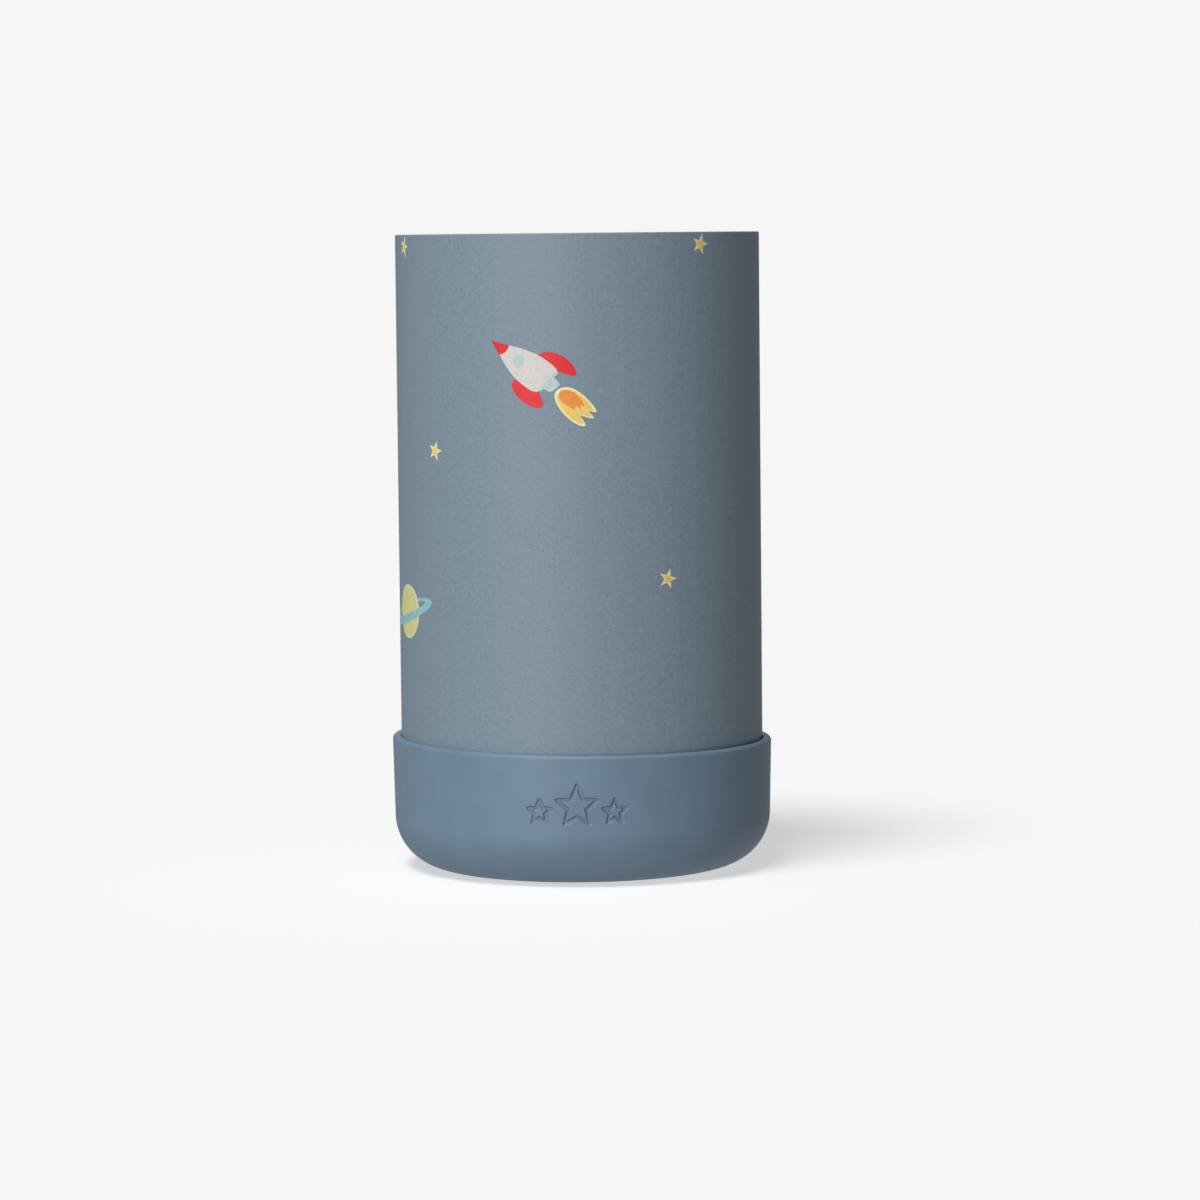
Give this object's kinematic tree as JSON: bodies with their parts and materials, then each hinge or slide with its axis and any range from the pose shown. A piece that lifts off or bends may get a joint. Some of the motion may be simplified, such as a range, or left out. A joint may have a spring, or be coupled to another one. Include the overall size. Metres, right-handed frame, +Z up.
{
  "type": "kids insulated water bottle",
  "caption": "Straight double-walled steel drinking bottle with a coated outside, a flush screw-in straw lid with a fold-down spout and carry bail, and a pull-off silicone boot.",
  "frame": {"origin": "middle of the face that the bottle stands on, on the bottle's axis", "axes": "+Z up along the bottle's axis, the front with the pressed stars and the stowed spout's tip faces -Y, +X is to the right seen from the front"},
  "size_m": [0.0754, 0.0754, 0.1256],
  "materials": {
    "boot_silicone": "matte moulded silicone",
    "powder_coat": "matte powder coat with a fine grain",
    "steel": "electropolished stainless steel",
    "foil": "thin copper-coloured foil",
    "solder_glass": "fused bead",
    "sintered_metal": "pressed powder",
    "lid_plastic": "fine moulded texture",
    "inner_plastic": "satin, food grade",
    "accent_plastic": "fine moulded texture",
    "foam": "closed-cell foam",
    "clear_silicone": "translucent silicone"
  },
  "bodies": {
    "boot": {"silicone_boot": "boot_silicone"},
    "flask": {"outer_shell": "powder_coat", "inner_liner": "steel", "radiation_foil": "foil", "base_plate": "steel", "vacuum_seal_bead": "solder_glass", "getter_cup": "steel", "getter_pellet": "sintered_metal", "bottom_cover": "steel"},
    "seal_ring": {"lid_gasket": "clear_silicone"},
    "lid": {"lid_shell": "lid_plastic", "lid_base": "inner_plastic", "lid_insulation": "foam", "vent_valve": "clear_silicone", "spout_seat_seal": "clear_silicone", "drinking_straw": "clear_silicone", "bail_pins": "steel"},
    "spout": {"spout_arm": "accent_plastic", "spout_mouthpiece": "clear_silicone"},
    "bail": {"carry_bail": "accent_plastic"}
  },
  "joints": [
    {"name": "boot_pull_off", "type": "slide", "parent": "boot", "child": "flask", "axis": [0, 0, 1], "range_m": [0, 0.03]},
    {"name": "lid_rise", "type": "slide", "parent": "flask", "child": "seal_ring", "axis": [0, 0, 1], "range_m": [0, 0.0061]},
    {"name": "lid_turn", "type": "hinge", "parent": "seal_ring", "child": "lid", "pos_m": [0, 0, 0.107], "axis": [0, 0, 1], "range_deg": [0, 540]},
    {"name": "spout_flip", "type": "hinge", "parent": "lid", "child": "spout", "pos_m": [0, 0.0185, 0.1182], "axis": [-1, 0, 0], "range_deg": [0, 90]},
    {"name": "bail_flip", "type": "hinge", "parent": "lid", "child": "bail", "pos_m": [0, 0.002, 0.119], "axis": [-1, 0, 0], "range_deg": [0, 90]}
  ],
  "couplings": [
    {"joint": "lid_rise", "follows": "lid_turn", "m_per_rad": 0.00063662}
  ]
}
